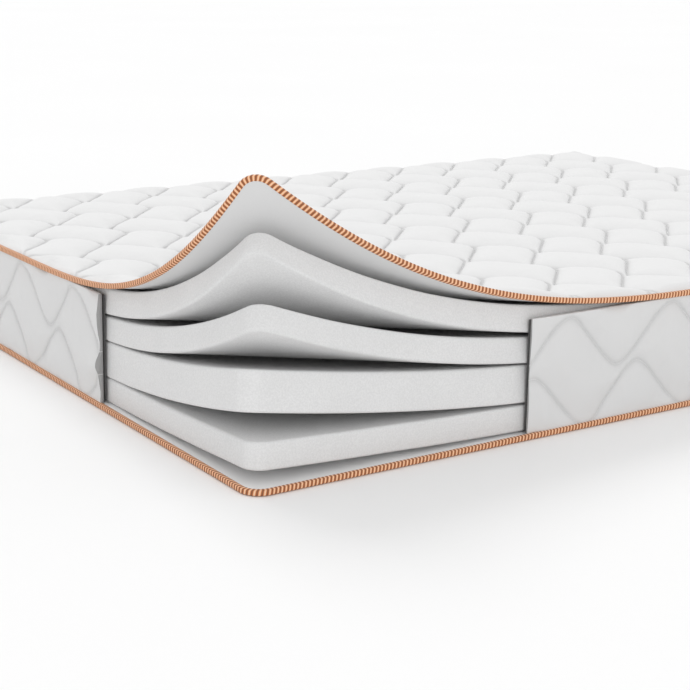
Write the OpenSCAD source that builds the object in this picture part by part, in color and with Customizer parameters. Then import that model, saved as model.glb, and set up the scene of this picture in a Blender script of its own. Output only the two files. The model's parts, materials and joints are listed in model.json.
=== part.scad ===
// Memory foam mattress, shown as a cutaway sample. One corner of its border is cut away,
// and the four foam slabs and the sewn top panel open like the leaves of a book.
// X runs across the mattress, Y along it, Z up. The origin is the middle of the underside,
// and the opened corner is at +X, -Y.

/* [Mattress] */
// Width over the piping, along X
mattress_w = 1400; // [800:10:2000]
// Length over the piping, along Y
mattress_l = 1900; // [1500:10:2300]
// Plan radius of the corners, on the centre line of the piping
corner_r = 30; // [24:1:60]

/* [Foam slabs] */
// Thickness of the firm base slab
base_foam_t = 43; // [20:1:80]
// Thickness of the support slab
support_foam_t = 62; // [20:1:100]
// Thickness of the transition slab
transition_foam_t = 42; // [20:1:80]
// Thickness of the memory foam slab
memory_foam_t = 44; // [20:1:80]
// Plan radius of the slabs' corners
foam_corner_r = 25; // [20:1:60]

/* [Bottom panel] */
// Thickness of the outer fabric
bottom_fabric_t = 2.5; // [1:0.5:6]
// Thickness of the lining that faces the foam
bottom_lining_t = 3.5; // [1:0.5:8]

/* [Border] */
// Thickness of the outer fabric
border_fabric_t = 1.5; // [1:0.5:4]
// Thickness of the wadding
border_wadding_t = 7; // [3:0.5:12]
// Thickness of the inner backing
border_backing_t = 1; // [0.5:0.5:3]

/* [Top panel] */
// Thickness of the backing that faces the foam
top_backing_t = 1.5; // [0.5:0.5:4]
// Thickness of the wadding
top_wadding_t = 8; // [4:0.5:20]
// Thickness of the knitted fabric
top_fabric_t = 1.5; // [1:0.5:4]

/* [Piping] */
// Diameter of the piping that binds both panels
piping_d = 10; // [6:0.5:14]
// How far the top piping hangs below the panel that it binds
piping_drop = 1.5; // [0:0.5:3]
// How far the border's face stands inside the piping's centre line
border_set_in = 2; // [0:0.5:4]

/* [Opened corner] */
// Reach of the border's window from the corner, along X
window_x = 496; // [420:5:700]
// Reach of the border's window from the corner, along Y
window_y = 519; // [445:5:700]
// Where the crease meets the side, from the corner, along X
crease_x = 465; // [300:5:465]
// Where the crease meets the side, from the corner, along Y
crease_y = 490; // [300:5:490]
// Lift of the top panel's corner, in degrees
cover_tilt = 48; // [35:1:55]
// Lift of the memory foam's corner, in degrees
memory_foam_tilt = 36; // [28:1:42]
// Lift of the transition foam's corner, in degrees
transition_foam_tilt = 24; // [18:1:27]
// Lift of the support foam's corner, in degrees
support_foam_tilt = 13.5; // [9:0.5:17]
// Lift of the base foam's corner, in degrees
base_foam_tilt = 5; // [2:0.5:7]
// How much further the top panel's corner opens, in degrees
extra_opening = 15; // [0:1:20]

/* [Clearances] */
// Between the border's backing and the slabs
foam_side_gap = 3; // [1:0.5:10]
// Between one layer and the next
layer_gap = 0.4; // [0.3:0.1:1]
// Between sewn pieces and their piping
seam_gap = 0.3; // [0.2:0.1:1]
// Between a layer and its lifted corner, each side of the crease
crease_gap = 0.4; // [0.3:0.1:1]

/* [Hidden] */
$fn = 48;

piping_r = piping_d / 2;
border_inset = piping_r + border_set_in;
// The panels end where the piping that binds them begins
panel_inset = piping_d + seam_gap;
border_wadding_inset = border_inset + border_fabric_t + layer_gap;
border_backing_inset = border_wadding_inset + border_wadding_t + layer_gap;
foam_inset = border_backing_inset + border_backing_t + foam_side_gap;

// Levels, from the underside up
bottom_lining_z = bottom_fabric_t + layer_gap;
base_foam_z = bottom_lining_z + bottom_lining_t + layer_gap;
support_foam_z = base_foam_z + base_foam_t + layer_gap;
transition_foam_z = support_foam_z + support_foam_t + layer_gap;
memory_foam_z = transition_foam_z + transition_foam_t + layer_gap;
top_backing_z = memory_foam_z + memory_foam_t + layer_gap;
top_wadding_z = top_backing_z + top_backing_t + layer_gap;
top_fabric_z = top_wadding_z + top_wadding_t + layer_gap;
cover_top_z = top_fabric_z + top_fabric_t;
cover_t = cover_top_z - top_backing_z;
top_piping_z = top_backing_z + piping_r - piping_drop;
border_z = piping_d + seam_gap;
border_h = top_piping_z - piping_r - seam_gap - border_z;

// The crease crosses the corner at a slant. Its distance is measured from the outer corner.
crease_span = sqrt(crease_x * crease_x + crease_y * crease_y);
crease_distance = crease_x * crease_y / crease_span;
crease_angle = -atan(crease_x / crease_y);
// Larger than any part, for cutting
reach = mattress_w + mattress_l;

// Each slab turns about the top edge of its crease. A slab that lifts more than the one
// below it needs its crease further back by this much, or their corners would meet.
function set_back(t, tilt, tilt_below) =
    max(0, t * (sin(tilt) - (1 - cos(tilt)) / tan(tilt_below))) + 2 * layer_gap;
function fully_open(tilt) = tilt * (1 + extra_opening / cover_tilt);

base_back = 0;
support_back = base_back
    + set_back(support_foam_t, fully_open(support_foam_tilt), fully_open(base_foam_tilt));
transition_back = support_back
    + set_back(transition_foam_t, fully_open(transition_foam_tilt), fully_open(support_foam_tilt));
memory_back = transition_back
    + set_back(memory_foam_t, fully_open(memory_foam_tilt), fully_open(transition_foam_tilt));
cover_back = memory_back
    + set_back(cover_t, fully_open(cover_tilt), fully_open(memory_foam_tilt));

// Plan radius of a piece that lies this far inside the outer edge
function plan_r(inset) = corner_r + piping_r - inset;

// A flat sheet or slab with rounded corners, inset from the outer edge all round
module slab(inset, r, z, t) {
    w = mattress_w - 2 * inset;
    l = mattress_l - 2 * inset;
    translate([0, 0, z]) linear_extrude(t) {
        square([w - 2 * r, l], center = true);
        square([w, l - 2 * r], center = true);
        for (x = [-1, 1], y = [-1, 1])
            translate([x * (w / 2 - r), y * (l / 2 - r)]) circle(r);
    }
}

// Moves its children to the opened corner, with X across the crease towards the corner
module at_crease(back, z) {
    translate([mattress_w / 2, -mattress_l / 2, z])
        rotate([0, 0, crease_angle])
            translate([-crease_distance - back, 0, 0]) children();
}

// Everything on the corner's side of the crease, starting this far past it
module beyond_crease(back, start) {
    at_crease(back, 0) translate([start, -reach, -reach]) cube([reach, 2 * reach, 2 * reach]);
}

// The main part of a layer, without its corner
module main_part(back) {
    difference() {
        children();
        beyond_crease(back, -crease_gap);
    }
}

// The corner of a layer, turned up about the top edge of its crease
module lifted_corner(back, top_z, tilt) {
    translate([mattress_w / 2, -mattress_l / 2, top_z])
        rotate([0, 0, crease_angle])
            translate([-crease_distance - back, 0, 0])
                rotate([0, -tilt, 0])
                    translate([crease_distance + back, 0, 0])
                        rotate([0, 0, -crease_angle])
                            translate([-mattress_w / 2, mattress_l / 2, -top_z])
                                intersection() {
                                    children();
                                    beyond_crease(back, crease_gap);
                                }
}

// A round cord once round the mattress
module piping_ring(z) {
    w = mattress_w - piping_d;
    l = mattress_l - piping_d;
    for (side = [-1, 1]) {
        translate([side * w / 2, 0, z]) rotate([90, 0, 0])
            cylinder(h = l - 2 * corner_r, r = piping_r, center = true);
        translate([0, side * l / 2, z]) rotate([0, 90, 0])
            cylinder(h = w - 2 * corner_r, r = piping_r, center = true);
    }
    for (turn = [0, 180])
        rotate([0, 0, turn]) {
            translate([w / 2 - corner_r, l / 2 - corner_r, z]) piping_bend();
            translate([corner_r - w / 2, l / 2 - corner_r, z]) rotate([0, 0, 90]) piping_bend();
        }
}

// A quarter turn of the piping
module piping_bend() {
    rotate_extrude(angle = 90) translate([corner_r, 0]) circle(piping_r);
}

// One layer of the border: a band once round the mattress, open at the window
module border_band(inset, t) {
    difference() {
        slab(inset, plan_r(inset), border_z, border_h);
        slab(inset + t, plan_r(inset + t), border_z - 1, border_h + 2);
        translate([mattress_w / 2 - window_x, -mattress_l / 2 - reach + window_y, -reach / 2])
            cube(reach);
    }
}

module foam_slab(z, t) {
    slab(foam_inset, foam_corner_r, z, t);
}

module panel_sheet(z, t) {
    slab(panel_inset, plan_r(panel_inset), z, t);
}

module bottom_fabric() {
    color("white") panel_sheet(0, bottom_fabric_t);
}

module bottom_lining() {
    color("silver") panel_sheet(bottom_lining_z, bottom_lining_t);
}

module bottom_piping() {
    color("peru") piping_ring(piping_r);
}

module border_fabric() {
    color("whitesmoke") border_band(border_inset, border_fabric_t);
}

module border_wadding() {
    color("lightgray") border_band(border_wadding_inset, border_wadding_t);
}

module border_backing() {
    color("silver") border_band(border_backing_inset, border_backing_t);
}

module base_foam() {
    color("gainsboro") main_part(base_back) foam_slab(base_foam_z, base_foam_t);
}

module support_foam() {
    color("gainsboro") main_part(support_back) foam_slab(support_foam_z, support_foam_t);
}

module transition_foam() {
    color("gainsboro") main_part(transition_back) foam_slab(transition_foam_z, transition_foam_t);
}

module memory_foam() {
    color("gainsboro") main_part(memory_back) foam_slab(memory_foam_z, memory_foam_t);
}

module base_foam_corner() {
    color("gainsboro") lifted_corner(base_back, base_foam_z + base_foam_t, base_foam_tilt)
        foam_slab(base_foam_z, base_foam_t);
}

module support_foam_corner() {
    color("gainsboro") lifted_corner(support_back, support_foam_z + support_foam_t, support_foam_tilt)
        foam_slab(support_foam_z, support_foam_t);
}

module transition_foam_corner() {
    color("gainsboro")
        lifted_corner(transition_back, transition_foam_z + transition_foam_t, transition_foam_tilt)
            foam_slab(transition_foam_z, transition_foam_t);
}

module memory_foam_corner() {
    color("gainsboro") lifted_corner(memory_back, memory_foam_z + memory_foam_t, memory_foam_tilt)
        foam_slab(memory_foam_z, memory_foam_t);
}

module top_backing() {
    color("silver") main_part(cover_back) panel_sheet(top_backing_z, top_backing_t);
}

module top_wadding() {
    color("lightgray") main_part(cover_back) panel_sheet(top_wadding_z, top_wadding_t);
}

module top_fabric() {
    color("white") main_part(cover_back) panel_sheet(top_fabric_z, top_fabric_t);
}

module top_piping() {
    color("peru") main_part(cover_back) piping_ring(top_piping_z);
}

// The pieces of the top panel's corner lift together
module cover_corner() {
    lifted_corner(cover_back, cover_top_z, cover_tilt) children();
}

module top_backing_corner() {
    color("silver") cover_corner() panel_sheet(top_backing_z, top_backing_t);
}

module top_wadding_corner() {
    color("lightgray") cover_corner() panel_sheet(top_wadding_z, top_wadding_t);
}

module top_fabric_corner() {
    color("white") cover_corner() panel_sheet(top_fabric_z, top_fabric_t);
}

module top_piping_corner() {
    color("peru") cover_corner() piping_ring(top_piping_z);
}

bottom_fabric();
bottom_lining();
bottom_piping();
border_fabric();
border_wadding();
border_backing();
base_foam();
support_foam();
transition_foam();
memory_foam();
top_backing();
top_wadding();
top_fabric();
top_piping();
base_foam_corner();
support_foam_corner();
transition_foam_corner();
memory_foam_corner();
top_backing_corner();
top_wadding_corner();
top_fabric_corner();
top_piping_corner();
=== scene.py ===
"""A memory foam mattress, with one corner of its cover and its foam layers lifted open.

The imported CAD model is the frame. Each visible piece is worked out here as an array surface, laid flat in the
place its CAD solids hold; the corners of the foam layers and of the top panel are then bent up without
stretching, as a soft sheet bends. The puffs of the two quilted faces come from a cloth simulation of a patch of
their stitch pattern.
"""
import json
import logging
import math
from dataclasses import dataclass, field
from enum import Enum
from typing import Any, Dict, List, Optional, Sequence, Tuple, Union

import bpy
import numpy as np
from mathutils import Matrix, Vector


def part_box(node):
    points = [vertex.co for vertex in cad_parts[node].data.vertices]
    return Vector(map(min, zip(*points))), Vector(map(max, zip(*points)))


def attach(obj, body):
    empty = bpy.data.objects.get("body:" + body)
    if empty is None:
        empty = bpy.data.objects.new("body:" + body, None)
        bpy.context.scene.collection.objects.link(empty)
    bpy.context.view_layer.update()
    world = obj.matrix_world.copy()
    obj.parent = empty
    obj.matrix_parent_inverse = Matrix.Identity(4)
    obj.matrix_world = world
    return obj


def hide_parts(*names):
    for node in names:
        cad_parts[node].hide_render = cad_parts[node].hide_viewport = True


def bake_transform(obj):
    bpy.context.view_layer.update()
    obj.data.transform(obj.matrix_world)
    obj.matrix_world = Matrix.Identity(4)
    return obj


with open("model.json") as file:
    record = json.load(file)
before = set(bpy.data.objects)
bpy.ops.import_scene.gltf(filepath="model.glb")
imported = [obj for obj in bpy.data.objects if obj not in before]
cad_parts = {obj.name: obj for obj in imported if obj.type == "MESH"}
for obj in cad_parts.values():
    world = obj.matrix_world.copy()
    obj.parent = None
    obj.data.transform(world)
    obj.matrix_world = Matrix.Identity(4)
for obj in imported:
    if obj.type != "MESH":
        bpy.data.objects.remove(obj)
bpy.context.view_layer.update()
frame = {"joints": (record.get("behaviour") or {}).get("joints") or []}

Array = np.ndarray
Point = Tuple[float, float, float]
Colour = Tuple[float, float, float, float]
LOG = logging.getLogger("mattress")
MAIN = "mattress"
TURN = 2.0 * math.pi
OUTER_LOW, OUTER_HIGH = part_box("bottom_piping")
OPENED_CORNER = (OUTER_HIGH.x, OUTER_LOW.y)


class Slot(Enum):
    """The finishes that the record names."""

    COVER_FABRIC = "cover_fabric"
    BORDER_FABRIC = "border_fabric"
    BORDER_BACKING = "border_backing"
    PANEL_LINING = "panel_lining"
    PIPING = "piping"
    MEMORY_FOAM = "memory_foam"
    TRANSITION_FOAM = "transition_foam"
    SUPPORT_FOAM = "support_foam"
    BASE_FOAM = "base_foam"


# ---------------------------------------------------------------- arrays and meshes


def smooth(t: Array) -> Array:
    """The S curve t * t * (3 - 2t) of t held between 0 and 1."""
    t = np.clip(t, 0.0, 1.0)
    return t * t * (3.0 - 2.0 * t)


def levels(node: str) -> Tuple[float, float]:
    """The lowest and highest z of a CAD node at rest."""
    low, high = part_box(node)
    return low.z, high.z


@dataclass(frozen=True)
class Ripple:
    """A slow unevenness: the sum of a few sine waves that run in different directions.

    Attributes:
        height: How far it moves a point, in metres.
        length: The longest wave, in metres.
        phase: Where the waves start, so that two pieces differ.
    """

    height: float
    length: float
    phase: float = 0.0

    def at(self, x: Array, y: Array) -> Array:
        """Three crossed sine waves at each point, between about -height and height."""
        k = TURN / self.length
        total = np.sin(k * (x * 0.9 + y * 0.35) + self.phase)
        total = total + 0.6 * np.sin(k * 1.7 * (y * 0.8 - x * 0.55) + 2.1 * self.phase)
        total = total + 0.4 * np.sin(k * 2.9 * (x * 0.5 + y * 0.85) + 3.7 * self.phase + 1.0)
        return total * self.height * 0.5


@dataclass
class Skin:
    """A mesh in the making: shared points, four-sided faces and values kept at each point.

    Attributes:
        points: The points, one row of x, y, z each.
        faces: The faces, one row of four point numbers each.
        cloth: Flat cloth coordinates of each point, in metres.
        extras: Further named numbers at each point.
    """

    points: Array
    faces: Array
    cloth: Array
    extras: Dict[str, Array] = field(default_factory=dict)

    def build(self, name: str) -> bpy.types.Object:
        """Puts the arrays into a new mesh object at the origin.

        Args:
            name: The piece's name.

        Returns:
            The new object, smooth shaded, with a UV map named cloth.
        """
        mesh = bpy.data.meshes.new(name)
        count = len(self.faces)
        mesh.vertices.add(len(self.points))
        mesh.vertices.foreach_set("co", self.points.astype(np.float32).ravel())
        mesh.loops.add(count * 4)
        mesh.loops.foreach_set("vertex_index", self.faces.astype(np.int32).ravel())
        mesh.polygons.add(count)
        mesh.polygons.foreach_set("loop_start", np.arange(count, dtype=np.int32) * 4)
        mesh.polygons.foreach_set("loop_total", np.full(count, 4, np.int32))
        mesh.update(calc_edges=True)
        layer = mesh.uv_layers.new(name="cloth")
        layer.data.foreach_set("uv", self.cloth[self.faces.ravel()].astype(np.float32).ravel())
        for key, values in self.extras.items():
            mesh.attributes.new(key, "FLOAT", "POINT").data.foreach_set("value", values.astype(np.float32))
        mesh.polygons.foreach_set("use_smooth", np.ones(count, bool))
        mesh.validate()
        piece = bpy.data.objects.new(name, mesh)
        bpy.context.scene.collection.objects.link(piece)
        return piece


def grid_quads(rows: int, cols: int, first: int = 0, ring: bool = False) -> Array:
    """Faces of a grid of points kept row by row.

    Args:
        rows: Number of rows of points.
        cols: Number of points in a row.
        first: Number of the first point.
        ring: Whether each row closes on itself.

    Returns:
        The faces, anticlockwise when the columns run right and the rows up.
    """
    steps = cols if ring else cols - 1
    i, j = np.meshgrid(np.arange(rows - 1), np.arange(steps), indexing="ij")
    k = (j + 1) % cols
    quads = np.stack([i * cols + j, i * cols + k, (i + 1) * cols + k, (i + 1) * cols + j], -1)
    return quads.reshape(-1, 4) + first


def rim_of(rows: int, cols: int) -> Array:
    """The numbers of a grid's edge points, once round, along the first row first."""
    index = np.arange(rows * cols).reshape(rows, cols)
    return np.concatenate([index[0, :-1], index[:-1, -1], index[-1, :0:-1], index[:0:-1, 0]])


@dataclass(frozen=True)
class Plan:
    """A rounded rectangle seen from above, centred on the origin.

    Attributes:
        half_w: Half its size along x.
        half_l: Half its size along y.
        radius: Radius of its corners.
    """

    half_w: float
    half_l: float
    radius: float

    @classmethod
    def of(cls, node: str, radius: float) -> "Plan":
        """The plan of a CAD node's box, with corners of the given radius."""
        _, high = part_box(node)
        return cls(high.x, high.y, radius)

    @classmethod
    def within(cls, gap: float, radius: float) -> "Plan":
        """The plan that lies inside the whole mattress's outline by that gap."""
        return cls(OUTER_HIGH.x - gap, OUTER_HIGH.y - gap, radius)

    def inset(self, by: float) -> "Plan":
        """The plan whose outline lies further in by that much."""
        return Plan(self.half_w - by, self.half_l - by, max(self.radius - by, 0.001))

    def warp(self, x: Array, y: Array) -> Tuple[Array, Array]:
        """Moves a rectangle's grid so that its corners become round.

        Within a corner square, the square p, q from 0 to 1 goes onto the quarter disc
        p * sqrt(1 - q^2 / 2), q * sqrt(1 - p^2 / 2). Every other point stays.

        Args:
            x: Grid x.
            y: Grid y.

        Returns:
            The moved x and y.
        """
        cx, cy = self.half_w - self.radius, self.half_l - self.radius
        p = np.clip((np.abs(x) - cx) / self.radius, 0.0, 1.0)
        q = np.clip((np.abs(y) - cy) / self.radius, 0.0, 1.0)
        corner = (p > 0) & (q > 0)
        u = (cx + self.radius * p * np.sqrt(1.0 - q * q / 2.0)) * np.sign(x)
        v = (cy + self.radius * q * np.sqrt(1.0 - p * p / 2.0)) * np.sign(y)
        return np.where(corner, u, x), np.where(corner, v, y)

    def outward(self, x: Array, y: Array) -> Array:
        """The outward normal at points of the outline, away from the inner rectangle's nearest point."""
        cx, cy = self.half_w - self.radius, self.half_l - self.radius
        away = np.stack([x - np.clip(x, -cx, cx), y - np.clip(y, -cy, cy)], -1)
        return away / np.maximum(np.linalg.norm(away, axis=-1, keepdims=True), 1e-9)

    def spans(self) -> Array:
        """Lengths of the outline's parts: the +x side, a corner, the +y side, a corner, and so on round."""
        across, along = 2 * (self.half_w - self.radius), 2 * (self.half_l - self.radius)
        return np.array([along, math.pi / 2 * self.radius, across, math.pi / 2 * self.radius] * 2)

    def at(self, s: Array) -> Tuple[Array, Array]:
        """Points of the outline at a length along it, anticlockwise from the opened corner's +x end.

        A straight part is its start plus the length along its direction; a corner is its centre plus
        radius times the direction at angle start + length / radius.

        Args:
            s: Lengths along the outline.

        Returns:
            The points and the outward normals, both as rows of x, y.
        """
        spans = self.spans()
        start = np.concatenate([[0.0], np.cumsum(spans)[:-1]])
        s = np.mod(s, spans.sum())
        k = np.clip(np.searchsorted(start, s, side="right") - 1, 0, 7)
        t = s - start[k]
        cx, cy = self.half_w - self.radius, self.half_l - self.radius
        signs = np.array([[1, -1], [1, 1], [1, 1], [-1, 1], [-1, 1], [-1, -1], [-1, -1], [1, -1]])
        cores = signs * [cx, cy]
        angle = (k // 2) * math.pi / 2 + np.where(k % 2 == 1, t / self.radius, 0.0)
        normal = np.stack([np.cos(angle), np.sin(angle)], -1)
        along = np.stack([-normal[:, 1], normal[:, 0]], -1)
        point = cores[k] + normal * self.radius + along * np.where(k % 2 == 0, t, 0.0)[:, None]
        return point, normal


@dataclass(frozen=True)
class CornerBend:
    """How a flat layer's corner is bent up, without stretching.

    Inside the bend line nothing moves. Beyond it the slope grows as tip * (u / reach) ^ power, where u is
    the distance past the line, so the outline comes inwards as it rises. The layer's thickness stays
    square to it, and a small sideways slip follows the lift.

    Attributes:
        reach: Distance of the bend line from the outer corner.
        tip: Slope at the corner, in degrees.
        power: How late the slope grows.
        angle: The direction from the corner to the middle of the mattress, in degrees from -x towards +y.
        slip: Sideways move for each metre of lift.
        steps: Number of steps of the profile's sum.
    """

    reach: float
    tip: float
    power: float
    angle: float = 38.2
    slip: float = -0.062
    steps: int = 600

    def apply(self, points: Array, middle: float) -> Array:
        """Bends points that lie flat.

        Args:
            points: Flat points, one row each.
            middle: The z that keeps its length.

        Returns:
            The bent points.
        """
        u = np.linspace(0.0, self.reach, self.steps)
        slope = math.radians(self.tip) * (u / self.reach) ** self.power
        mid = (slope[1:] + slope[:-1]) / 2.0
        run = np.concatenate([[0.0], np.cumsum(np.cos(mid) * np.diff(u))])
        rise = np.concatenate([[0.0], np.cumsum(np.sin(mid) * np.diff(u))])
        na, nb = math.cos(math.radians(self.angle)), math.sin(math.radians(self.angle))
        sigma = (OPENED_CORNER[0] - points[:, 0]) * na + (points[:, 1] - OPENED_CORNER[1]) * nb
        past = np.clip(self.reach - sigma, 0.0, None)
        over = np.clip(past - self.reach, 0.0, None)
        lean = np.interp(past, u, slope)
        lift = np.interp(past, u, rise) + over * math.sin(slope[-1])
        across = np.interp(past, u, run) + over * math.cos(slope[-1])
        depth = points[:, 2] - middle
        inward = past - across + depth * np.sin(lean)
        side = self.slip * lift
        x = points[:, 0] - inward * na + side * nb
        y = points[:, 1] + inward * nb + side * na
        return np.stack([x, y, middle + lift + depth * np.cos(lean)], -1)


@dataclass(frozen=True)
class Hinge:
    """The line across the opened corner that each layer's joint turns on, seen from above.

    Attributes:
        spot: A point on the line; not used.
        outward: The direction from the line to the corner; not used.
        before: How far before the line a piece would start to turn; not used.
        after: How far past it the piece would turn fully; not used.
    """

    spot: Tuple[float, float]
    outward: Tuple[float, float]
    before: float = 0.20
    after: float = 0.26

    @classmethod
    def of(cls, joint: str) -> "Hinge":
        """The line of a joint of the frame."""
        found = next(entry for entry in frame["joints"] if entry["name"] == joint)
        x, y, _ = found["pos_m"]
        return cls((x, y), (-found["axis"][1], found["axis"][0]))

    def blend(self, piece: bpy.types.Object) -> None:
        """Bakes a piece's world transform into its mesh.

        Args:
            piece: The finished piece.
        """
        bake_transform(piece)


# ---------------------------------------------------------------- shader writing

Value = Union["Signal", float, int, Sequence[float], None]


class Signal:
    """One output socket, with Python operators that add Math nodes."""

    def __init__(self, shader: "Shader", socket: bpy.types.NodeSocket) -> None:
        """Keeps the socket and the shader it belongs to."""
        self.shader = shader
        self.socket = socket

    def _math(self, operation: str, *values: Value) -> "Signal":
        """Adds one Math node."""
        return self.shader.node("ShaderNodeMath", {"operation": operation}, dict(enumerate(values)))

    def __add__(self, other: Value) -> "Signal":
        """self + other."""
        return self._math("ADD", self, other)

    __radd__ = __add__

    def __mul__(self, other: Value) -> "Signal":
        """self * other."""
        return self._math("MULTIPLY", self, other)

    __rmul__ = __mul__

    def __sub__(self, other: Value) -> "Signal":
        """self - other."""
        return self._math("SUBTRACT", self, other)

    def __rsub__(self, other: Value) -> "Signal":
        """other - self."""
        return self._math("SUBTRACT", other, self)

    def sine(self) -> "Signal":
        """The sine of it."""
        return self._math("SINE", self)

    def size(self) -> "Signal":
        """Its size without its sign."""
        return self._math("ABSOLUTE", self)

    def below(self, edge: float, soft: float) -> "Signal":
        """1 where it is under edge, 0 above edge + soft, and smooth between."""
        return self.shader.node(
            "ShaderNodeMapRange",
            {"interpolation_type": "SMOOTHSTEP", "clamp": True},
            {"Value": self, "From Min": edge, "From Max": edge + soft, "To Min": 1.0, "To Max": 0.0},
        )


class Shader:
    """A material's node tree."""

    def __init__(self, name: str) -> None:
        """Starts an empty material of that name."""
        self.material = bpy.data.materials.new(name)
        self.material.use_nodes = True
        self.tree = self.material.node_tree
        self.tree.nodes.clear()

    def node(
        self,
        kind: str,
        settings: Optional[Dict[str, Any]] = None,
        inputs: Optional[Dict[Any, Value]] = None,
        out: Any = 0,
    ) -> Signal:
        """Adds any node.

        Args:
            kind: The node's type.
            settings: Its settings, set first.
            inputs: Values or links of its sockets, by name or number.
            out: The output to use, by name or number.

        Returns:
            That output.
        """
        made = self.tree.nodes.new(kind)
        for key, value in (settings or {}).items():
            setattr(made, key, value)
        for key, value in (inputs or {}).items():
            socket = made.inputs[key]
            if isinstance(value, Signal):
                self.tree.links.new(value.socket, socket)
            elif value is not None:
                socket.default_value = value
        return Signal(self, made.outputs[out])

    def place(self) -> Signal:
        """Object coordinates."""
        return self.node("ShaderNodeTexCoord", out="Object")

    def cloth(self) -> Tuple[Signal, Signal]:
        """The flat cloth coordinates, in metres."""
        uv = self.node("ShaderNodeUVMap", {"uv_map": "cloth"})
        split = self.node("ShaderNodeSeparateXYZ", inputs={0: uv})
        return split, Signal(self, split.socket.node.outputs[1])

    def attribute(self, name: str) -> Signal:
        """A number kept at each point of the mesh."""
        return self.node("ShaderNodeAttribute", {"attribute_name": name}, out="Fac")

    def noise(self, where: Signal, scale: float, detail: float = 2.0, rough: float = 0.5) -> Signal:
        """Fractal noise from 0 to 1."""
        inputs = {"Vector": where, "Scale": scale, "Detail": detail, "Roughness": rough}
        return self.node("ShaderNodeTexNoise", inputs=inputs, out="Fac")

    def mix(self, factor: Value, a: Value, b: Value) -> Signal:
        """A colour between a and b."""
        return self.node("ShaderNodeMix", {"data_type": "RGBA"}, {0: factor, 6: a, 7: b}, out=2)

    def bump(self, height: Signal, distance: float, strength: float, under: Value = None) -> Signal:
        """Turns a height into a bumped normal, over another one if given."""
        inputs = {"Height": height, "Distance": distance, "Strength": strength, "Normal": under}
        return self.node("ShaderNodeBump", inputs=inputs)

    def finish(
        self, colour: Value, roughness: Value, normal: Optional[Signal] = None, **fixed: float
    ) -> bpy.types.Material:
        """Adds the surface shader and the output.

        Args:
            colour: Base colour.
            roughness: Roughness.
            normal: The bumped normal.
            fixed: Further sockets that are the same all over, with _ for spaces.

        Returns:
            The material.
        """
        inputs: Dict[Any, Value] = {"Base Color": colour, "Roughness": roughness, "Normal": normal}
        inputs.update({key.replace("_", " "): value for key, value in fixed.items()})
        surface = self.node("ShaderNodeBsdfPrincipled", inputs=inputs)
        out = self.tree.nodes.new("ShaderNodeOutputMaterial")
        self.tree.links.new(surface.socket, out.inputs["Surface"])
        return self.material


def grey(level: float) -> Colour:
    """A grey of that level."""
    return (level, level, level, 1.0)


@dataclass(frozen=True)
class QuiltFabric:
    """A white knitted cover, machine quilted: fine loops, a soft painted shade along each seam and a thread in
    each seam.

    Attributes:
        name: The material's name.
        colour: The fabric's grey level.
        seam: Grey level of the painted shade in a seam.
        depth: How much of that painted shade a seam takes.
        width: How far the painted shade reaches from a seam, in metres.
        loop: Size of a knit loop, in metres.
        stitch: Length of one stitch, in metres.
        raw: Grey level of cut ends, or 0 where there are none.
    """

    name: str
    colour: float = 0.80
    seam: float = 0.55
    depth: float = 0.55
    width: float = 0.0120
    loop: float = 0.0016
    stitch: float = 0.0045
    raw: float = 0.0

    def make(self) -> bpy.types.Material:
        """Builds it; the distance to a seam comes from two attributes that are zero on the stitch lines."""
        sh = Shader(self.name)
        u, v = sh.cloth()
        where = sh.place()
        seams = {0: sh.attribute("seam_a").size(), 1: sh.attribute("seam_b").size()}
        near = sh.node("ShaderNodeMath", {"operation": "MINIMUM"}, seams)
        # Painted shade: these two masks darken the cloth towards the seam grey near each stitch line; the
        # crease mask also dents the bump.
        groove_shade = near.below(0.0006, self.width)
        crease = near.below(0.0004, self.width * 0.45)
        line = near.below(0.0004, 0.0005)
        dash = (u * (math.pi / self.stitch)).sine().size().below(0.25, 0.25)
        thread = line * (1 - dash)
        k = TURN / self.loop
        knit = ((u * k).sine() * (v * k * 0.5).sine()) + ((u * k * 0.5 + v * k).sine() * 0.6)
        fuzz = sh.noise(where, 900.0, 2.0, 0.6)
        cloudy = sh.noise(where, 9.0, 3.0, 0.5)
        tone = sh.mix(cloudy, grey(self.colour * 0.985), grey(self.colour * 1.01))
        # Painted shade: the tone goes towards the seam grey in the seams and creases.
        tone = sh.mix((groove_shade * 0.5 + crease * 0.5) * self.depth, tone, grey(self.seam))
        if self.raw:
            tone = sh.mix(sh.attribute("cut"), tone, grey(self.raw))
        tone = sh.mix(thread * 0.5, tone, grey(0.85))
        fine = sh.bump(knit * 0.25 + fuzz * 0.5, 0.00012, 0.5)
        soft = sh.bump(thread * 0.5 - crease, 0.0012, 0.7, fine)
        rough = 0.78 + fuzz * 0.12
        return sh.finish(tone, rough, soft, Sheen_Weight=0.25, Sheen_Roughness=0.5, Specular_IOR_Level=0.25)


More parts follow.
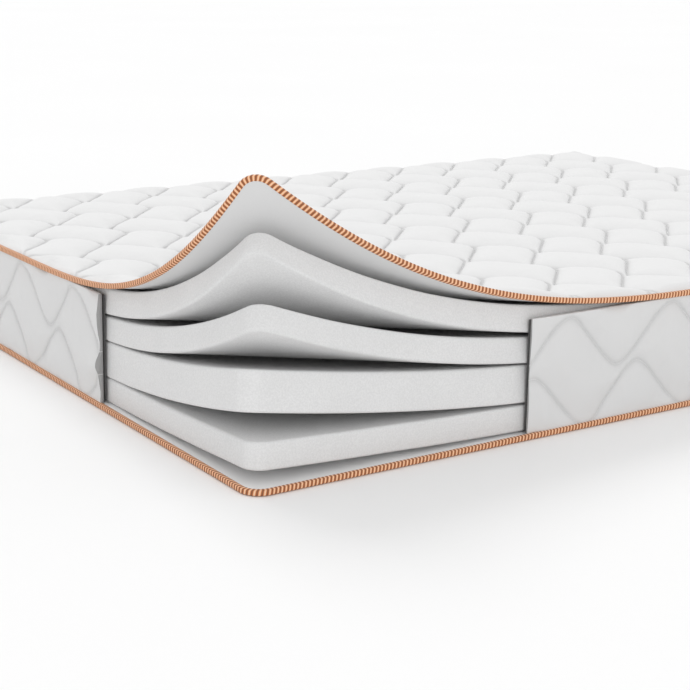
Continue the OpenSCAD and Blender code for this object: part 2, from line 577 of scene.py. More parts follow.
@dataclass(frozen=True)
class Foam:
    """Open-cell foam: an even grey with fine dark and light cells, and pores that bump the surface."""

    name: str
    colour: float
    cell: float = 0.0016

    def make(self) -> bpy.types.Material:
        """Builds it from cell noise at two sizes and a slow cloudiness."""
        sh = Shader(self.name)
        where = sh.place()
        shape = {"Vector": where, "Scale": 1.0 / self.cell, "Randomness": 1.0}
        cells = sh.node("ShaderNodeTexVoronoi", {"feature": "F1"}, shape, out="Distance")
        grain = sh.noise(where, 0.55 / self.cell, 4.0, 0.7)
        slow = sh.noise(where, 14.0, 3.0, 0.5)
        tone = sh.mix(slow, grey(self.colour * 0.96), grey(self.colour * 1.03))
        tone = sh.mix(grain.below(0.40, 0.16) * 0.15, tone, grey(self.colour * 0.62))
        tone = sh.mix((1 - grain.below(0.56, 0.10)) * 0.18, tone, grey(min(1.0, self.colour * 1.22)))
        tone = sh.mix(cells.below(0.10, 0.18) * 0.15, tone, grey(self.colour * 0.55))
        normal = sh.bump(grain + cells * 0.6, 0.0006, 0.35)
        return sh.finish(tone, 0.88 + slow * 0.08, normal, Specular_IOR_Level=0.15)


@dataclass(frozen=True)
class Lining:
    """A smooth bonded lining: grey, with faint matted fibres and pressed dots."""

    name: str
    colour: float
    dots: float = 0.0030

    def make(self) -> bpy.types.Material:
        """Builds it from stretched noise for the fibres and a lattice of pressed dots."""
        sh = Shader(self.name)
        u, v = sh.cloth()
        where = sh.place()
        k = TURN / self.dots
        dots = ((u * k).sine() * (v * k).sine()).size().below(0.35, 0.5)
        fibre = sh.noise(where, 420.0, 5.0, 0.7)
        slow = sh.noise(where, 7.0, 3.0, 0.5)
        tone = sh.mix(slow, grey(self.colour * 0.95), grey(self.colour * 1.04))
        tone = sh.mix(fibre * 0.25, tone, grey(self.colour * 0.8))
        normal = sh.bump(fibre + dots * 0.4, 0.00025, 0.5)
        return sh.finish(tone, 0.72 + fibre * 0.15, normal, Sheen_Weight=0.1, Specular_IOR_Level=0.3)


@dataclass(frozen=True)
class StripedTape:
    """Striped piping tape: orange and cream bands that follow the ribs, dark bands of painted groove shade, and
    fine threads.

    Attributes:
        name: The material's name.
        rib: Colour between the bands.
        gap: Colour of the light bands.
        shade: Colour of the dark bands, which are painted groove shade.
        lint: Colour of the fuzz on it.
        threads: Number of threads round the tube.
    """

    name: str
    rib: Colour = (0.68, 0.21, 0.065, 1.0)
    gap: Colour = (0.90, 0.59, 0.38, 1.0)
    shade: Colour = (0.19, 0.075, 0.034, 1.0)
    lint: Colour = (0.95, 0.62, 0.40, 1.0)
    threads: int = 22

    def make(self) -> bpy.types.Material:
        """Builds it from the ribs' sine along the tape and the cloth map, whose v goes once round it."""
        sh = Shader(self.name)
        u, v = sh.cloth()
        wave = sh.attribute("rib")
        cream = wave.below(-0.60, 0.40)
        # Painted shade: where the rib wave is high the tape goes dark, standing in for the shade in the grooves
        # between ribs.
        groove_shade = 1 - wave.below(0.10, 0.50)
        threads = (v * (TURN * self.threads) + u * 9.0).sine()
        fuzz = sh.noise(sh.place(), 1400.0, 2.0, 0.6)
        tone = sh.mix(cream, self.rib, self.gap)
        tone = sh.mix(groove_shade * 0.9, tone, self.shade)
        tone = sh.mix(fuzz * 0.08, tone, self.lint)
        normal = sh.bump(threads * 0.5 + fuzz, 0.0002, 0.5)
        return sh.finish(tone, 0.62 + fuzz * 0.2, normal, Sheen_Weight=0.1, Specular_IOR_Level=0.25)


@dataclass(frozen=True)
class Floor:
    """A plain pale floor."""

    name: str = "pale_floor"

    def make(self) -> bpy.types.Material:
        """A matt near-white with the faintest unevenness."""
        sh = Shader(self.name)
        slow = sh.noise(sh.place(), 0.8, 2.0, 0.5)
        return sh.finish(sh.mix(slow, grey(0.93), grey(0.95)), 0.9, Specular_IOR_Level=0.05)


# ---------------------------------------------------------------- quilting


ROW_MARGIN = 0.0004
ROW_GAP = 0.00006


@dataclass(frozen=True)
class WaveQuilting:
    """Two wavy stitch lines in each repeat, half out of step, so that they pinch the cloth into leaves.

    Each line falls over a share of its period and rises over the rest. Its height is swing times the arcsine
    of crisp times half a cosine, over the arcsine of crisp: nearly straight between rounded turns.

    Attributes:
        period: Length of one wave.
        repeat: Distance between rows of pairs.
        swing: Half the height of a wave.
        fall: Share of a period over which a line falls.
        crisp: How straight the line is between its turns, from 0 to 1.
        step: How far the second line of a pair lies along, and how far below.
        origin: The middle of one falling stretch of the first line.
    """

    period: float = 0.2306
    repeat: float = 0.1709
    swing: float = 0.0468
    fall: float = 0.478
    crisp: float = 0.94
    step: Tuple[float, float] = (0.0837, -0.0926)
    origin: Tuple[float, float] = (-0.183, 0.299)

    def wave(self, u: Array) -> Array:
        """One line's height at u past the middle of a falling stretch."""
        p = np.mod(u / self.period + self.fall / 2.0, 1.0)
        down = np.cos(math.pi * p / self.fall)
        up = -np.cos(math.pi * (p - self.fall) / (1.0 - self.fall))
        return self.swing * np.arcsin(self.crisp * np.where(p < self.fall, down, up)) / math.asin(self.crisp)

    def offsets(self, x: Array, y: Array) -> Tuple[Array, Array]:
        """How far above the first and the second line each point lies, both not yet wrapped to a repeat."""
        first = y - self.origin[1] - self.wave(x - self.origin[0])
        second = y - self.origin[1] - self.step[1] - self.wave(x - self.origin[0] - self.step[0])
        return first, second

    def seams(self, x: Array, y: Array) -> Dict[str, Array]:
        """The distance to each line where it is near, as repeat / pi * sin(pi * offset / repeat)."""
        first, second = self.offsets(x, y)
        k = math.pi / self.repeat
        return {"seam_a": np.sin(k * first) / k, "seam_b": np.sin(k * second) / k}

    def between(self, x: Array, first: int, last: int, shares: Array) -> Array:
        """Rows on and between the stitch lines.

        Args:
            x: The columns' places.
            first: Number of the lowest pair of lines.
            last: Number of the highest pair.
            shares: Shares of the way from one line to the next, from 0.

        Returns:
            The y of every point, one row each, up to and with the last line.
        """
        lines: List[Array] = []
        for k in range(first, last + 1):
            base = self.origin[1] + k * self.repeat
            lines.append(base + self.step[1] + self.wave(x - self.origin[0] - self.step[0]))
            lines.append(base + self.wave(x - self.origin[0]))
        rows = [a[None] + (b - a)[None] * shares[:, None] for a, b in zip(lines[:-1], lines[1:])]
        return np.concatenate(rows + [lines[-1][None]])

    def rows(self, x: Array, low: float, high: float, each: int) -> Array:
        """Rows of points that follow the stitch lines, so that every line lies on a row.

        Between two lines the share of the way is (1 - cos(pi j / each)) / 2, which packs the rows at the
        lines. Rows that would leave the cloth are held just inside its edge, one after the other.

        Args:
            x: The columns' places.
            low: The lowest y of the cloth.
            high: The highest y.
            each: Number of rows from one line to the next.

        Returns:
            The y of every point, one row each.
        """
        first = int(math.floor((low - self.origin[1] - self.swing) / self.repeat)) - 1
        last = int(math.ceil((high - self.origin[1] + self.swing) / self.repeat)) + 1
        shares = (1.0 - np.cos(np.pi * np.arange(each) / each)) / 2.0
        stack = self.between(x, first, last, shares)[:-1]
        stack = stack[(stack.max(1) > low + ROW_MARGIN) & (stack.min(1) < high - ROW_MARGIN)]
        order = np.arange(1, len(stack) + 1)[:, None] * ROW_GAP
        stack = np.clip(stack, low + order, high - ROW_GAP * (len(stack) + 1) + order)
        ends = np.full((1, x.size), 1.0)
        return np.concatenate([ends * low, stack, ends * high])

    def leaf(self, x: Array, y: Array) -> Tuple[Array, Array, Array]:
        """The leaf that each point lies in.

        Args:
            x: Place along the rows.
            y: Place across the rows.

        Returns:
            Its kind, 1 where a first line is just below and 0 where a second is; the share of the way from
            the line below to the line above; and their distance.
        """
        first, second = self.offsets(x, y)
        a, b = np.mod(first, self.repeat), np.mod(second, self.repeat)
        below = np.minimum(a, b)
        gap = below + np.minimum(self.repeat - a, self.repeat - b)
        return (a < b).astype(int), below / np.maximum(gap, 1e-6), gap

    def puff(self, x: Array, y: Array) -> Array:
        """How full the cloth is, from 0 on a line to about 1 in the middle of the widest leaf.

        With t the share of the way from the line below to the line above, and gap their distance, it is
        (gap / 0.62 repeat) ^ 0.6 * (1 - |2t - 1| ^ 2.8) ^ 0.62.

        Args:
            x: Place along the rows.
            y: Place across the rows.

        Returns:
            The fullness.
        """
        _, t, gap = self.leaf(x, y)
        body = np.clip(1.0 - np.abs(2.0 * t - 1.0) ** 2.8, 0.0, 1.0) ** 0.62
        return np.clip(gap / (0.62 * self.repeat), 0.0, 1.2) ** 0.6 * body


@dataclass
class QuiltRelief:
    """The puffed shape of one repeat of a quilted cloth, found by cloth simulation between held stitch lines.

    A patch of two waves by five leaves starts a little flatter than it ends, and is blown up with its stitch
    lines held. The heights of its middle, as shares of the crest, are kept as a table for each of the two
    kinds of leaf, over the share of the way across and along the wave.

    Attributes:
        quilting: The stitch pattern.
        crest: Height of the fullest leaf.
        step: Spacing of the patch along the waves.
        each: Number of cells from one line to the next.
        pressure: How hard the cloth is blown up.
        slack: Share by which the cloth is larger than it starts.
        start: Share of the crest that the patch has before it is blown up.
        cap: The most that a leaf may rise, as a share of the crest.
        frames: How many frames are run.
        table: The heights, by leaf kind, share across and place along.
    """

    quilting: WaveQuilting
    crest: float
    step: float = 0.004
    each: int = 14
    pressure: float = 4.0
    slack: float = 0.008
    start: float = 0.85
    cap: float = 1.15
    frames: int = 20
    table: Optional[Array] = None

    @classmethod
    def of(cls, quilting: WaveQuilting, crest: float, quick: bool) -> "QuiltRelief":
        """The relief of a stitch pattern, simulated unless a quick build is asked for."""
        made = cls(quilting, crest)
        if not quick:
            made.simulate()
        return made

    def patch(self) -> Tuple[Array, Array]:
        """The flat patch: its columns, and the y of every point on rows that run evenly from line to line."""
        q = self.quilting
        count = int(round(q.period / self.step))
        x = q.origin[0] + (np.arange(2 * count + 1) / count - 0.5) * q.period
        return x, q.between(x, 0, 2, np.arange(self.each) / self.each)

    def simulate(self) -> None:
        """Blows the patch up and keeps the heights of its middle wave as shares of the crest."""
        x, y = self.patch()
        rows, cols = y.shape
        xx = np.broadcast_to(x, y.shape)
        start = self.quilting.puff(xx, y) * self.crest * self.start
        points = np.stack([xx.ravel(), y.ravel(), start.ravel()], -1)
        cloth = Skin(points, grid_quads(rows, cols), points[:, :2]).build("quilt_patch")
        row, col = np.divmod(np.arange(rows * cols), cols)
        held = (row % self.each == 0) | (col == 0) | (col == cols - 1)
        cloth.vertex_groups.new(name="held").add(np.flatnonzero(held).tolist(), 1.0, "REPLACE")
        modifier = cloth.modifiers.new("cloth", "CLOTH")
        settings = modifier.settings
        settings.quality, settings.mass = 6, 0.2
        settings.use_pressure, settings.uniform_pressure_force = True, self.pressure
        settings.shrink_min = -self.slack
        settings.vertex_group_mass = "held"
        settings.effector_weights.gravity = 0.0
        modifier.collision_settings.use_collision = False
        scene = bpy.context.scene
        for number in range(1, self.frames + 1):
            scene.frame_set(number)
        result = cloth.evaluated_get(bpy.context.evaluated_depsgraph_get()).data
        moved = np.empty(rows * cols * 3, np.float32)
        result.vertices.foreach_get("co", moved)
        scene.frame_set(1)
        bpy.data.objects.remove(cloth)
        height = moved.reshape(rows, cols, 3)[..., 2].astype(float)
        first, count = cols // 4, (cols - 1) // 2
        middle = np.clip(height[:, first : first + count], 0.0, None)
        kinds = np.stack([middle[k * self.each : (k + 1) * self.each + 1] for k in (2, 1)])
        LOG.info("quilt patch: highest point %.1f mm", 1000.0 * kinds.max())
        self.table = np.minimum(kinds / self.crest, self.cap)

    def puff(self, x: Array, y: Array) -> Array:
        """How full the cloth is: read between the table's entries, or by formula if there is no table.

        Args:
            x: Place along the rows.
            y: Place across the rows.

        Returns:
            The fullness, from 0 on a line to 1.
        """
        q = self.quilting
        if self.table is None:
            return q.puff(x, y)
        kind, share, _ = q.leaf(x, y)
        across = np.clip(share, 0.0, 1.0) * self.each
        count = self.table.shape[2]
        shift = 0.5 - (count * 2 + 1) // 4 / count
        along = np.mod((x - q.origin[0]) / q.period + shift, 1.0) * count
        i, j = np.minimum(across.astype(int), self.each - 1), along.astype(int) % count
        s, t, k = across - i, along - along.astype(int), (j + 1) % count
        low = self.table[kind, i, j] * (1 - t) + self.table[kind, i, k] * t
        high = self.table[kind, i + 1, j] * (1 - t) + self.table[kind, i + 1, k] * t
        return low * (1 - s) + high * s


# ---------------------------------------------------------------- sub-assemblies

COARSE = 0.045
PITCH = 0.0068
HALF_TUBE = 0.005
PANEL = Plan.within(0.0075, 0.0255)
TUBE = Plan.within(0.0050, 0.0300)


def side_places(half: float, fine: float, turn: float, radius: float, fine_high: bool) -> Array:
    """Grid places along a side, close together towards the opened corner and in the rounded corners.

    Args:
        half: Half the side.
        fine: Spacing on the opened corner's part.
        turn: Where that part ends.
        radius: Size of the corner squares.
        fine_high: Whether the opened corner is at the high end.

    Returns:
        The places from -1 to 1, in rising order.
    """
    steps = (COARSE, fine) if fine_high else (fine, COARSE)
    low, high = radius - half, half - radius
    a = np.linspace(low, turn, int(round((turn - low) / steps[0])) + 1)
    b = np.linspace(turn, high, int(round((high - turn) / steps[1])) + 1)
    ends = np.linspace(0.0, radius, 7)[1:]
    return np.concatenate([low - ends[::-1], a, b[1:], high + ends]) / half


@dataclass
class Slab:
    """A closed flat body with rounded edges: a top and a bottom grid joined by loops round its side.

    Attributes:
        plan: Its outline at the side.
        low: Its lowest z.
        high: Its highest z.
        edge: Radius of its edges.
        xs: Grid places along x, from -1 to 1 of the half width.
        ys: Grid places along y, or those of every point.
        loops: Number of loops round each rounded edge.
    """

    plan: Plan
    low: float
    high: float
    edge: float
    xs: Array
    ys: Array
    loops: int

    @classmethod
    def opened(cls, plan: Plan, node: str, edge: float, loops: int, fine: float, corner: float) -> "Slab":
        """A slab between a CAD node's levels, with a grid that is fine near the opened corner.

        Args:
            plan: Its outline.
            node: The CAD node.
            edge: Radius of its edges.
            loops: Number of loops round each edge.
            fine: The grid's spacing near the opened corner.
            corner: Size of the grid's corner squares.

        Returns:
            The slab.
        """
        xs = side_places(plan.half_w, fine, 0.0, corner, True)
        ys = side_places(plan.half_l, fine, -0.25, corner, False)
        return cls(plan, *levels(node), edge, xs, ys, loops)

    def skin(self) -> Skin:
        """Works out the closed surface.

        The grids lie inside the outline by the edge radius. Each side loop goes out by edge * sin(turn) and
        down by edge * (1 - cos(turn)), and the bottom half mirrors it.

        Returns:
            The flat, closed skin, with its flat x and y as cloth coordinates.
        """
        inner = self.plan.inset(self.edge)
        ys = self.ys[:, None] if self.ys.ndim == 1 else self.ys
        gx, gy = np.broadcast_arrays(self.xs * inner.half_w, ys * inner.half_l)
        x, y = inner.warp(gx, gy)
        rows, cols = x.shape
        rim = rim_of(rows, cols)
        out = inner.outward(x.ravel()[rim], y.ravel()[rim])
        turns = np.linspace(0.0, math.pi / 2, self.loops + 1)[1:]
        profile = [(self.edge * math.sin(t), self.high - self.edge * (1 - math.cos(t))) for t in turns]
        profile += [(d, self.low + self.high - z) for d, z in reversed(profile)]
        tops = np.stack([x.ravel(), y.ravel(), np.full(x.size, self.high)], -1)
        bottoms = tops * [1, 1, 0] + [0, 0, self.low]
        away = np.pad(out, ((0, 0), (0, 1)))
        sides = [tops[rim] * [1, 1, 0] + away * d + [0, 0, z] for d, z in profile]
        points = np.concatenate([tops, bottoms, *sides])
        count, n = x.size, rim.size
        top_faces = grid_quads(rows, cols)
        bottom_faces = grid_quads(rows, cols, count)[:, ::-1]
        rings = [rim] + [2 * count + k * n + np.arange(n) for k in range(len(profile))] + [rim + count]
        walls = [np.stack([np.roll(a, -1), a, b, np.roll(b, -1)], -1) for a, b in zip(rings[:-1], rings[1:])]
        faces = np.concatenate([top_faces, bottom_faces, *walls])
        return Skin(points, faces, points[:, :2].copy())


def dress(piece: bpy.types.Object, finish: Any, nodes: Sequence[str]) -> None:
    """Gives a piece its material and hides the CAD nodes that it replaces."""
    piece.data.materials.append(finish.make())
    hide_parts(*nodes)


@dataclass
class FoamLayer:
    """One foam slab, bent up at the opened corner.

    Attributes:
        kind: Its foam, which its CAD nodes and finish are named after.
        bend: How its corner is bent.
        colour: Its grey level.
        ripple: The unevenness of its sides.
        corner: Radius of its corners, seen from above.
        edge: Radius of its edges.
        rim: How far in from a side the unevenness reaches.
    """

    kind: str
    bend: CornerBend
    colour: float
    ripple: Ripple
    corner: float = 0.030
    edge: float = 0.0045
    rim: float = 0.12

    def build(self, hinge: Hinge) -> bpy.types.Object:
        """Makes the slab from the CAD slab's box and bakes its transform."""
        node = f"{self.kind}_foam"
        plan = Plan.of(node, self.corner)
        bottom, top = levels(node)
        skin = Slab.opened(plan, node, self.edge, 4, 0.011, self.corner).skin()
        flat = skin.points
        sway = self.ripple.at(flat[:, 0], flat[:, 1])
        past = np.maximum(np.abs(flat[:, 0]) - plan.half_w, np.abs(flat[:, 1]) - plan.half_l)
        rim = smooth((past + self.rim) / self.rim)
        out = plan.outward(flat[:, 0] * 0.9999, flat[:, 1] * 0.9999)
        flat[:, :2] -= out * (np.abs(sway) * rim)[:, None]
        skin.points = self.bend.apply(flat, (bottom + top) / 2.0)
        piece = skin.build(f"{node}_slab")
        dress(piece, Foam(f"{node}_cells", self.colour), (node, f"{node}_corner"))
        hinge.blend(piece)
        return piece


@dataclass
class Cover:
    """The top panel: a quilted face, its lining and the piping round it, all bent up at the corner.

    Attributes:
        bend: How the corner is bent.
        quilting: The stitch pattern.
        spacing: Distance between the quilted face's columns.
        crest: Height of the fullest leaf.
        valley: The z of the stitch lines.
        fade: How far in from the piping the leaves lose height.
        roll: Height of the soft roll beside the piping.
        lump: A slow unevenness of the face.
        radius: Radius of the piping.
    """

    bend: CornerBend
    quilting: WaveQuilting = WaveQuilting()
    spacing: float = 0.005
    crest: float = 0.0145
    valley: float = 0.2050
    fade: float = 0.045
    roll: float = 0.0052
    lump: Ripple = Ripple(0.0009, 0.31, 0.7)
    radius: float = 0.0052

    def bent(self, skin: Skin, name: str) -> bpy.types.Object:
        """Bends a flat skin about the middle of the piping and builds it."""
        skin.points = self.bend.apply(skin.points, levels("top_piping")[0] + HALF_TUBE)
        return skin.build(name)

    def quilted_top(self, hinge: Hinge, quick: bool) -> bpy.types.Object:
        """Makes the puffed panel.

        Its face is the valley plus crest * puff, which falls to 0.35 of that near the piping and to nothing
        beside it, plus a soft roll that rises over 9 mm from the edge and is gone by 55 mm.

        Args:
            hinge: The joints' line.
            quick: Whether a coarser, unsimulated face will do.

        Returns:
            The piece.
        """
        low, _ = levels("top_wadding")
        hem = 0.0006
        inner = PANEL.inset(hem)
        step = self.spacing * (2.0 if quick else 1.0)
        columns = np.linspace(-inner.half_w, inner.half_w, int(2 * inner.half_w / step) + 1)
        rows = self.quilting.rows(columns, -inner.half_l, inner.half_l, 8 if quick else 16)
        xs, ys = columns / inner.half_w, rows / inner.half_l
        skin = Slab(PANEL, low, self.valley - hem / 2.0, hem, xs, ys, 2).skin()
        x, y, _ = skin.points.copy().T
        edge = np.minimum(PANEL.half_w - np.abs(x), PANEL.half_l - np.abs(y))
        fade = smooth((edge - 0.001) / self.fade)
        roll = self.roll * smooth(edge / 0.009) * smooth((0.055 - edge) / 0.045)
        full = QuiltRelief.of(self.quilting, self.crest, quick).puff(x, y)
        puffs = full * self.crest * (0.35 + 0.65 * fade) * smooth(edge / 0.010)
        skin.points[: rows.size, 2] += (puffs + roll + self.lump.at(x, y) * fade)[: rows.size]
        skin.extras = self.quilting.seams(x, y)
        piece = self.bent(skin, "quilted_top")
        nodes = ("top_fabric", "top_wadding", "top_fabric_corner", "top_wadding_corner")
        dress(piece, QuiltFabric("white_knit_cover"), nodes)
        hinge.blend(piece)
        return piece

    def lining(self, hinge: Hinge) -> bpy.types.Object:
        """Makes the smooth grey sheet under the quilting."""
        piece = self.bent(Slab.opened(PANEL, "top_backing", 0.0007, 2, 0.011, 0.025).skin(), "top_lining")
        dress(piece, Lining("grey_lining", 0.70), ("top_backing", "top_backing_corner"))
        hinge.blend(piece)
        return piece

    def piping(self, hinge: Hinge) -> bpy.types.Object:
        """Makes the piping round the top panel and bends it with the panel."""
        low, _ = levels("top_piping")
        piece = self.bent(piping_skin(low + HALF_TUBE, self.radius), "top_piping_tape")
        dress(piece, StripedTape("striped_tape"), ("top_piping", "top_piping_corner"))
        hinge.blend(piece)
        return piece


def piping_skin(height: float, radius: float) -> Skin:
    """A ribbed tube carried round the tube outline.

    The section is a soft square: the cosine and sine of the angle, each to the power 0.42 of its size. Its
    radius is radius * (0.95 + 0.025 * sin(2 pi * count)), where count is the length in ribs less one rib for
    each turn round the tube, so that the ribs lean.

    Args:
        height: Its z.
        radius: Its mean radius.

    Returns:
        The closed tube, whose cloth map counts ribs and turns and whose rib attribute is the ribs' sine.
    """
    total = TUBE.spans().sum()
    ribs = int(round(total / PITCH))
    steps, around = ribs * 6, 16
    s = np.arange(steps) * total / steps
    centre, normal = TUBE.at(s)
    a = math.pi + np.arange(around) * TURN / around
    wide = 0.90 * np.sign(np.cos(a)) * np.abs(np.cos(a)) ** 0.42
    tall = 0.94 * np.sign(np.sin(a)) * np.abs(np.sin(a)) ** 0.42
    count = s[:, None] * ribs / total - a[None, :] / TURN
    rib = np.sin(TURN * count)
    r = radius * (0.95 + 0.025 * rib)
    x = centre[:, 0:1] + normal[:, 0:1] * r * wide
    y = centre[:, 1:2] + normal[:, 1:2] * r * wide
    z = height + r * tall
    points = np.stack([x, y, z], -1).reshape(-1, 3)
    index = np.arange(steps * around).reshape(steps, around)
    nxt = np.roll(index, -1, 0)
    faces = np.stack([index, nxt, np.roll(nxt, -1, 1), np.roll(index, -1, 1)], -1).reshape(-1, 4)
    cloth = np.stack([count, np.broadcast_to(a / TURN, count.shape)], -1).reshape(-1, 2)
    return Skin(points, faces, cloth, {"rib": rib.ravel()})


@dataclass
class Border:
    """The quilted side band, cut away round the opened corner, with a thin backing inside it whose near-black
    grey is painted shade.

    Attributes:
        quilting: The stitch pattern, along the outline and up the height.
        crest: Height of the fullest leaf.
        cut_x: Where the -y side's band ends, along x.
        cut_y: Where the +x side's band starts, along y.
        spacing: Distance between the padded band's columns.
        overlap: How far the padding reaches past its CAD levels, under the piping.
    """

    quilting: WaveQuilting = WaveQuilting(0.2302, 0.30, 0.047, 0.5, 0.82, (0.158, -0.093), (0.6244, 0.1445))
    crest: float = 0.0095
    cut_x: float = 0.194
    cut_y: float = -0.427
    spacing: float = 0.005
    overlap: float = 0.0012

    def span(self, plan: Plan) -> Tuple[float, float]:
        """Where the band starts and ends along an outline, from the +x side's cut round to the -y side's."""
        start = self.cut_y + plan.half_l - plan.radius
        end = plan.spans()[:6].sum() + self.cut_x + plan.half_w - plan.radius
        return start, end

    @staticmethod
    def band(plan: Plan, s: Array, zz: Array, out: Array, thick: Array) -> Skin:
        """A closed band on an outline: its outer face, its inner face and the wall round their rims.

        Args:
            plan: The outline.
            s: Length along it of each column.
            zz: The z of every point, row by row up the height.
            out: How far outside the outline the outer face lies.
            thick: How far inside that the inner face lies.

        Returns:
            The closed skin, with length and height as cloth coordinates.
        """
        centre, normal = plan.at(s)
        walls = [centre[None] + normal[None] * d[..., None] for d in (out, out - thick)]
        points = np.concatenate([np.dstack([wall, zz]).reshape(-1, 3) for wall in walls])
        rows, cols = zz.shape
        rim = rim_of(rows, cols)
        other = rim + zz.size
        side = np.stack([np.roll(rim, -1), rim, other, np.roll(other, -1)], -1)
        faces = np.concatenate([grid_quads(rows, cols), grid_quads(rows, cols, zz.size)[:, ::-1], side])
        cloth = np.dstack([np.broadcast_to(s, zz.shape), zz]).reshape(-1, 2)
        return Skin(points, faces, np.tile(cloth, (2, 1)))

    def quilt(self, quick: bool) -> bpy.types.Object:
        """Makes the padded band.

        Its outer face stands out by crest * puff ^ 1.15 and is drawn in at its stitch lines, its hems and its
        cut ends. At the end seen beside the open corner the padding bulges out of the cut by up to 11 mm.

        Args:
            quick: Whether a coarser, unsimulated face will do.

        Returns:
            The piece.
        """
        low, high = levels("border_fabric")
        low, high = low - self.overlap, high + self.overlap
        plan = Plan.within(0.0095, 0.0255)
        start, end = self.span(plan)
        step = self.spacing * (2.0 if quick else 1.0)
        s = np.linspace(start, end, int((end - start) / step) + 1)
        s = np.concatenate([s[:1], s[:1] + 0.0004, s[1:-1], s[-1:] - 0.0004, s[-1:]])
        zz = self.quilting.rows(s, low, high, 10 if quick else 18)
        ss = np.broadcast_to(s, zz.shape)
        hem = smooth((zz - low) / 0.030) * smooth((high - zz) / 0.030)
        full = QuiltRelief.of(self.quilting, self.crest, quick).puff(ss, zz) ** 1.15
        flat = 0.0040 * (1.0 - hem) + (self.crest * full - 0.0025) * hem
        out = flat + Ripple(0.0008, 0.42, 1.3).at(ss, zz) * hem
        near = np.exp(-((np.minimum(ss - start, end - ss) / 0.030) ** 2))
        lens = np.sin(np.pi * np.clip((zz - 0.030) / 0.085, 0.0, 1.0)) * np.exp(-(((end - ss) / 0.035) ** 2))
        out = out * (1.0 - 0.75 * np.exp(-(((ss - start) / 0.025) ** 2))) + 0.0110 * lens
        back = -0.0058 + 0.0038 * near
        skin = self.band(plan, s, zz, out, out - back)
        seams = self.quilting.seams(ss.ravel(), zz.ravel())
        seams["cut"] = np.where((ss == start) | (ss == end), 1.0, 0.0).ravel()
        skin.extras = {key: np.tile(value, 2) for key, value in seams.items()}
        piece = skin.build("quilted_border")
        finish = QuiltFabric("white_border_knit", 0.705, 0.50, 0.40, 0.015, raw=0.36)
        dress(piece, finish, ("border_fabric", "border_wadding"))
        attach(piece, MAIN)
        return piece

    def backing(self) -> bpy.types.Object:
        """Makes the thin sheet behind the padding; its near-black grey is painted shade for the gap at the cut
        ends.
        """
        low, high = levels("border_backing")
        plan = Plan.within(0.0157, 0.020)
        start, end = self.span(plan)
        s = np.linspace(start, end, int((end - start) / 0.012) + 1)
        _, zz = np.meshgrid(s, np.linspace(low + 0.001, high - 0.001, 18))
        skin = self.band(plan, s, zz, np.zeros(zz.shape), np.full(zz.shape, 0.001))
        piece = skin.build("border_backing_sheet")
        # Painted shade: the backing's grey of 0.10 stands in for the shade in the gap behind the padding.
        dress(piece, Lining("dark_backing", 0.10), ("border_backing",))
        end - start
        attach(piece, MAIN)
        return piece


@dataclass
class BottomPanel:
    """The flat panel under the foam: its quilted underside, its smooth lining and the piping round it.

    Attributes:
        quilting: The stitch pattern.
        seam: How far the stitch lines stand up from the floor.
        radius: Radius of the piping.
    """

    quilting: WaveQuilting = WaveQuilting()
    seam: float = 0.0011
    radius: float = 0.0050

    def fabric(self) -> bpy.types.Object:
        """Makes the thin outer face, which lies on the floor with its leaves."""
        low, high = levels("bottom_fabric")
        xs, ys = np.linspace(-1, 1, 140), np.linspace(-1, 1, 190)
        skin = Slab(PANEL, low + 0.0001, high, 0.0008, xs, ys, 2).skin()
        x, y, _ = skin.points.copy().T
        under = slice(xs.size * ys.size, 2 * xs.size * ys.size)
        skin.points[under, 2] += self.seam * (1.0 - np.clip(self.quilting.puff(x, y), 0, 1))[under]
        skin.extras = self.quilting.seams(x, y)
        piece = skin.build("bottom_fabric_sheet")
        dress(piece, QuiltFabric("white_bottom_knit", 0.80, 0.6), ("bottom_fabric",))
        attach(piece, MAIN)
        return piece

    def lining(self) -> bpy.types.Object:
        """Makes the smooth grey inner face, its grey lightened as painted light against the shade under the
        foam.
        """
        skin = Slab.opened(PANEL, "bottom_lining", 0.0012, 3, 0.012, 0.025).skin()
        piece = skin.build("bottom_lining_sheet")
        # Painted light: the lining's grey is raised to 0.92, near white, against the shade that falls under the
        # foam; the top lining's grey is 0.70.
        dress(piece, Lining("grey_bottom_lining", 0.92), ("bottom_lining",))
        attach(piece, MAIN)
        return piece

    def piping(self) -> bpy.types.Object:
        """Makes the piping round the bottom panel."""
        low, _ = levels("bottom_piping")
        piece = piping_skin(low + HALF_TUBE, self.radius).build("bottom_piping_tape")
        dress(piece, StripedTape("striped_bottom_tape"), ("bottom_piping",))
        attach(piece, MAIN)
        return piece


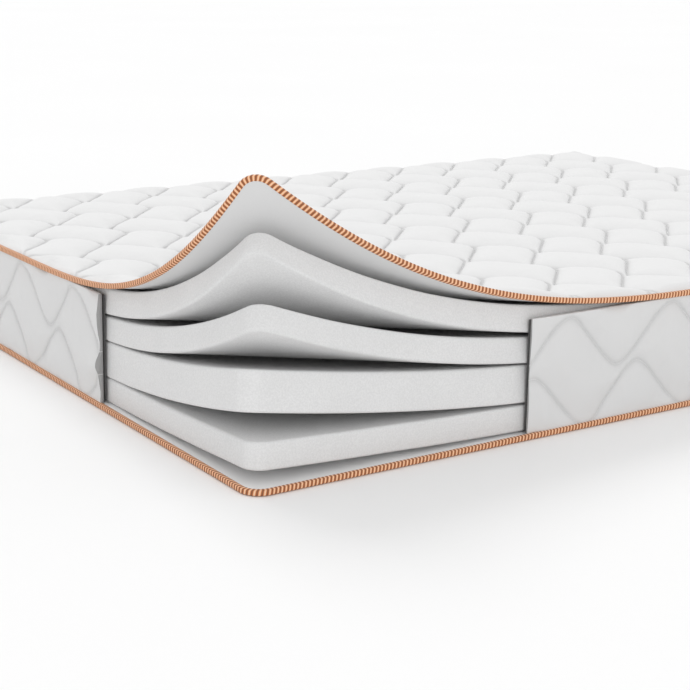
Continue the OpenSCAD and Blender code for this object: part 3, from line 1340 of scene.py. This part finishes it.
@dataclass
class Studio:
    """The camera, the lights and the pale floor.

    Attributes:
        camera_spot: Where the camera stands.
        turn: How far it is turned from +y towards -x, in degrees.
        pitch: How far it looks down, in degrees.
        roll: How far it is tilted about its own axis, in degrees.
        lens: Focal length on a sensor 36 mm wide, in millimetres.
        shift: How far the frame lies to the right of the axis and above it, as shares of the frame.
        ambient: Brightness of the world's light on the object.
        backdrop: Brightness of the world as the camera sees it.
    """

    camera_spot: Point = (2.4401, -1.9950, 0.7724)
    turn: float = 57.63
    pitch: float = 12.93
    roll: float = -0.58
    lens: float = 78.78261
    shift: Tuple[float, float] = (0.083913, -0.078261)
    ambient: float = 0.82
    backdrop: float = 1.05

    def camera(self) -> None:
        """Places the camera."""
        data = bpy.data.cameras.new("camera")
        data.lens = self.lens
        data.shift_x, data.shift_y = self.shift
        data.clip_start, data.clip_end = 0.05, 100.0
        eye = bpy.data.objects.new("camera", data)
        bpy.context.scene.collection.objects.link(eye)
        eye.matrix_world = Matrix.Translation(self.camera_spot)
        for degrees, axis in ((self.turn, "Z"), (90.0 - self.pitch, "X"), (-self.roll, "Z")):
            eye.matrix_world = eye.matrix_world @ Matrix.Rotation(math.radians(degrees), 4, axis)
        bpy.context.scene.camera = eye

    def light(self, name: str, towards: Point, spread: float, power: float) -> None:
        """Adds one distant soft light.

        Args:
            name: The light's name.
            towards: The direction from the mattress to the light.
            spread: How wide it looks from the mattress, in degrees.
            power: Its strength.
        """
        data = bpy.data.lights.new(name, "SUN")
        data.energy, data.angle = power, math.radians(spread)
        lamp = bpy.data.objects.new(name, data)
        bpy.context.scene.collection.objects.link(lamp)
        lamp.rotation_euler = Vector(towards).to_track_quat("Z", "Y").to_euler()

    def floor(self) -> None:
        """Lays the floor just under the mattress."""
        n = 5
        x, y = np.meshgrid(np.linspace(-30, 30, n), np.linspace(-30, 30, n))
        points = np.stack([x.ravel(), y.ravel(), np.full(x.size, -0.0004)], -1)
        floor = Skin(points, grid_quads(n, n), points[:, :2]).build("pale_floor")
        floor.data.materials.append(Floor().make())

    def build(self) -> None:
        """Sets up everything round the object."""
        self.camera()
        self.floor()
        world = bpy.data.worlds.new("studio")
        world.use_nodes = True
        tree = world.node_tree
        backdrop = tree.nodes["Background"]
        backdrop.inputs[0].default_value = (1.0, 1.0, 1.0, 1.0)
        seen = tree.nodes.new("ShaderNodeLightPath")
        strength = tree.nodes.new("ShaderNodeMapRange")
        strength.inputs["To Min"].default_value = self.ambient
        strength.inputs["To Max"].default_value = self.backdrop
        tree.links.new(seen.outputs["Is Camera Ray"], strength.inputs["Value"])
        tree.links.new(strength.outputs[0], backdrop.inputs[1])
        bpy.context.scene.world = world
        self.light("key", (-0.70, 0.10, 0.75), 28.0, 0.80)
        self.light("fill", (0.85, -0.35, 0.40), 40.0, 0.42)
        bpy.context.scene.view_settings.view_transform = "Standard"


def layers() -> List[FoamLayer]:
    """The four foam slabs, from the top down."""
    return [
        FoamLayer("memory", CornerBend(0.59, 67.0, 1.90), 0.75, Ripple(0.0012, 0.23, 0.3)),
        FoamLayer("transition", CornerBend(0.505, 39.6, 1.32, slip=-0.03), 0.755, Ripple(0.0012, 0.27, 1.3)),
        FoamLayer("support", CornerBend(0.460, 17.6, 0.78, slip=-0.25), 0.765, Ripple(0.0012, 0.25, 2.3)),
        FoamLayer("base", CornerBend(0.460, 5.2, 0.60, slip=-0.25), 0.755, Ripple(0.0012, 0.29, 3.3)),
    ]


def main() -> None:
    """Builds every piece in order and reports it."""
    logging.basicConfig(level=logging.INFO, format="%(name)s: %(message)s")
    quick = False
    hinge = Hinge.of("cover_peel")
    Studio().build()
    made: List[bpy.types.Object] = [layer.build(hinge) for layer in layers()]
    cover = Cover(CornerBend(0.640, 92.0, 2.30, 37.8, -0.064))
    made += [cover.quilted_top(hinge, quick), cover.lining(hinge), cover.piping(hinge)]
    border = Border()
    made += [border.quilt(quick), border.backing()]
    bottom = BottomPanel()
    made += [bottom.fabric(), bottom.lining(), bottom.piping()]
    for piece in made:
        LOG.info("%s: %d faces", piece.name, len(piece.data.polygons))


if __name__ == "__main__":
    main()
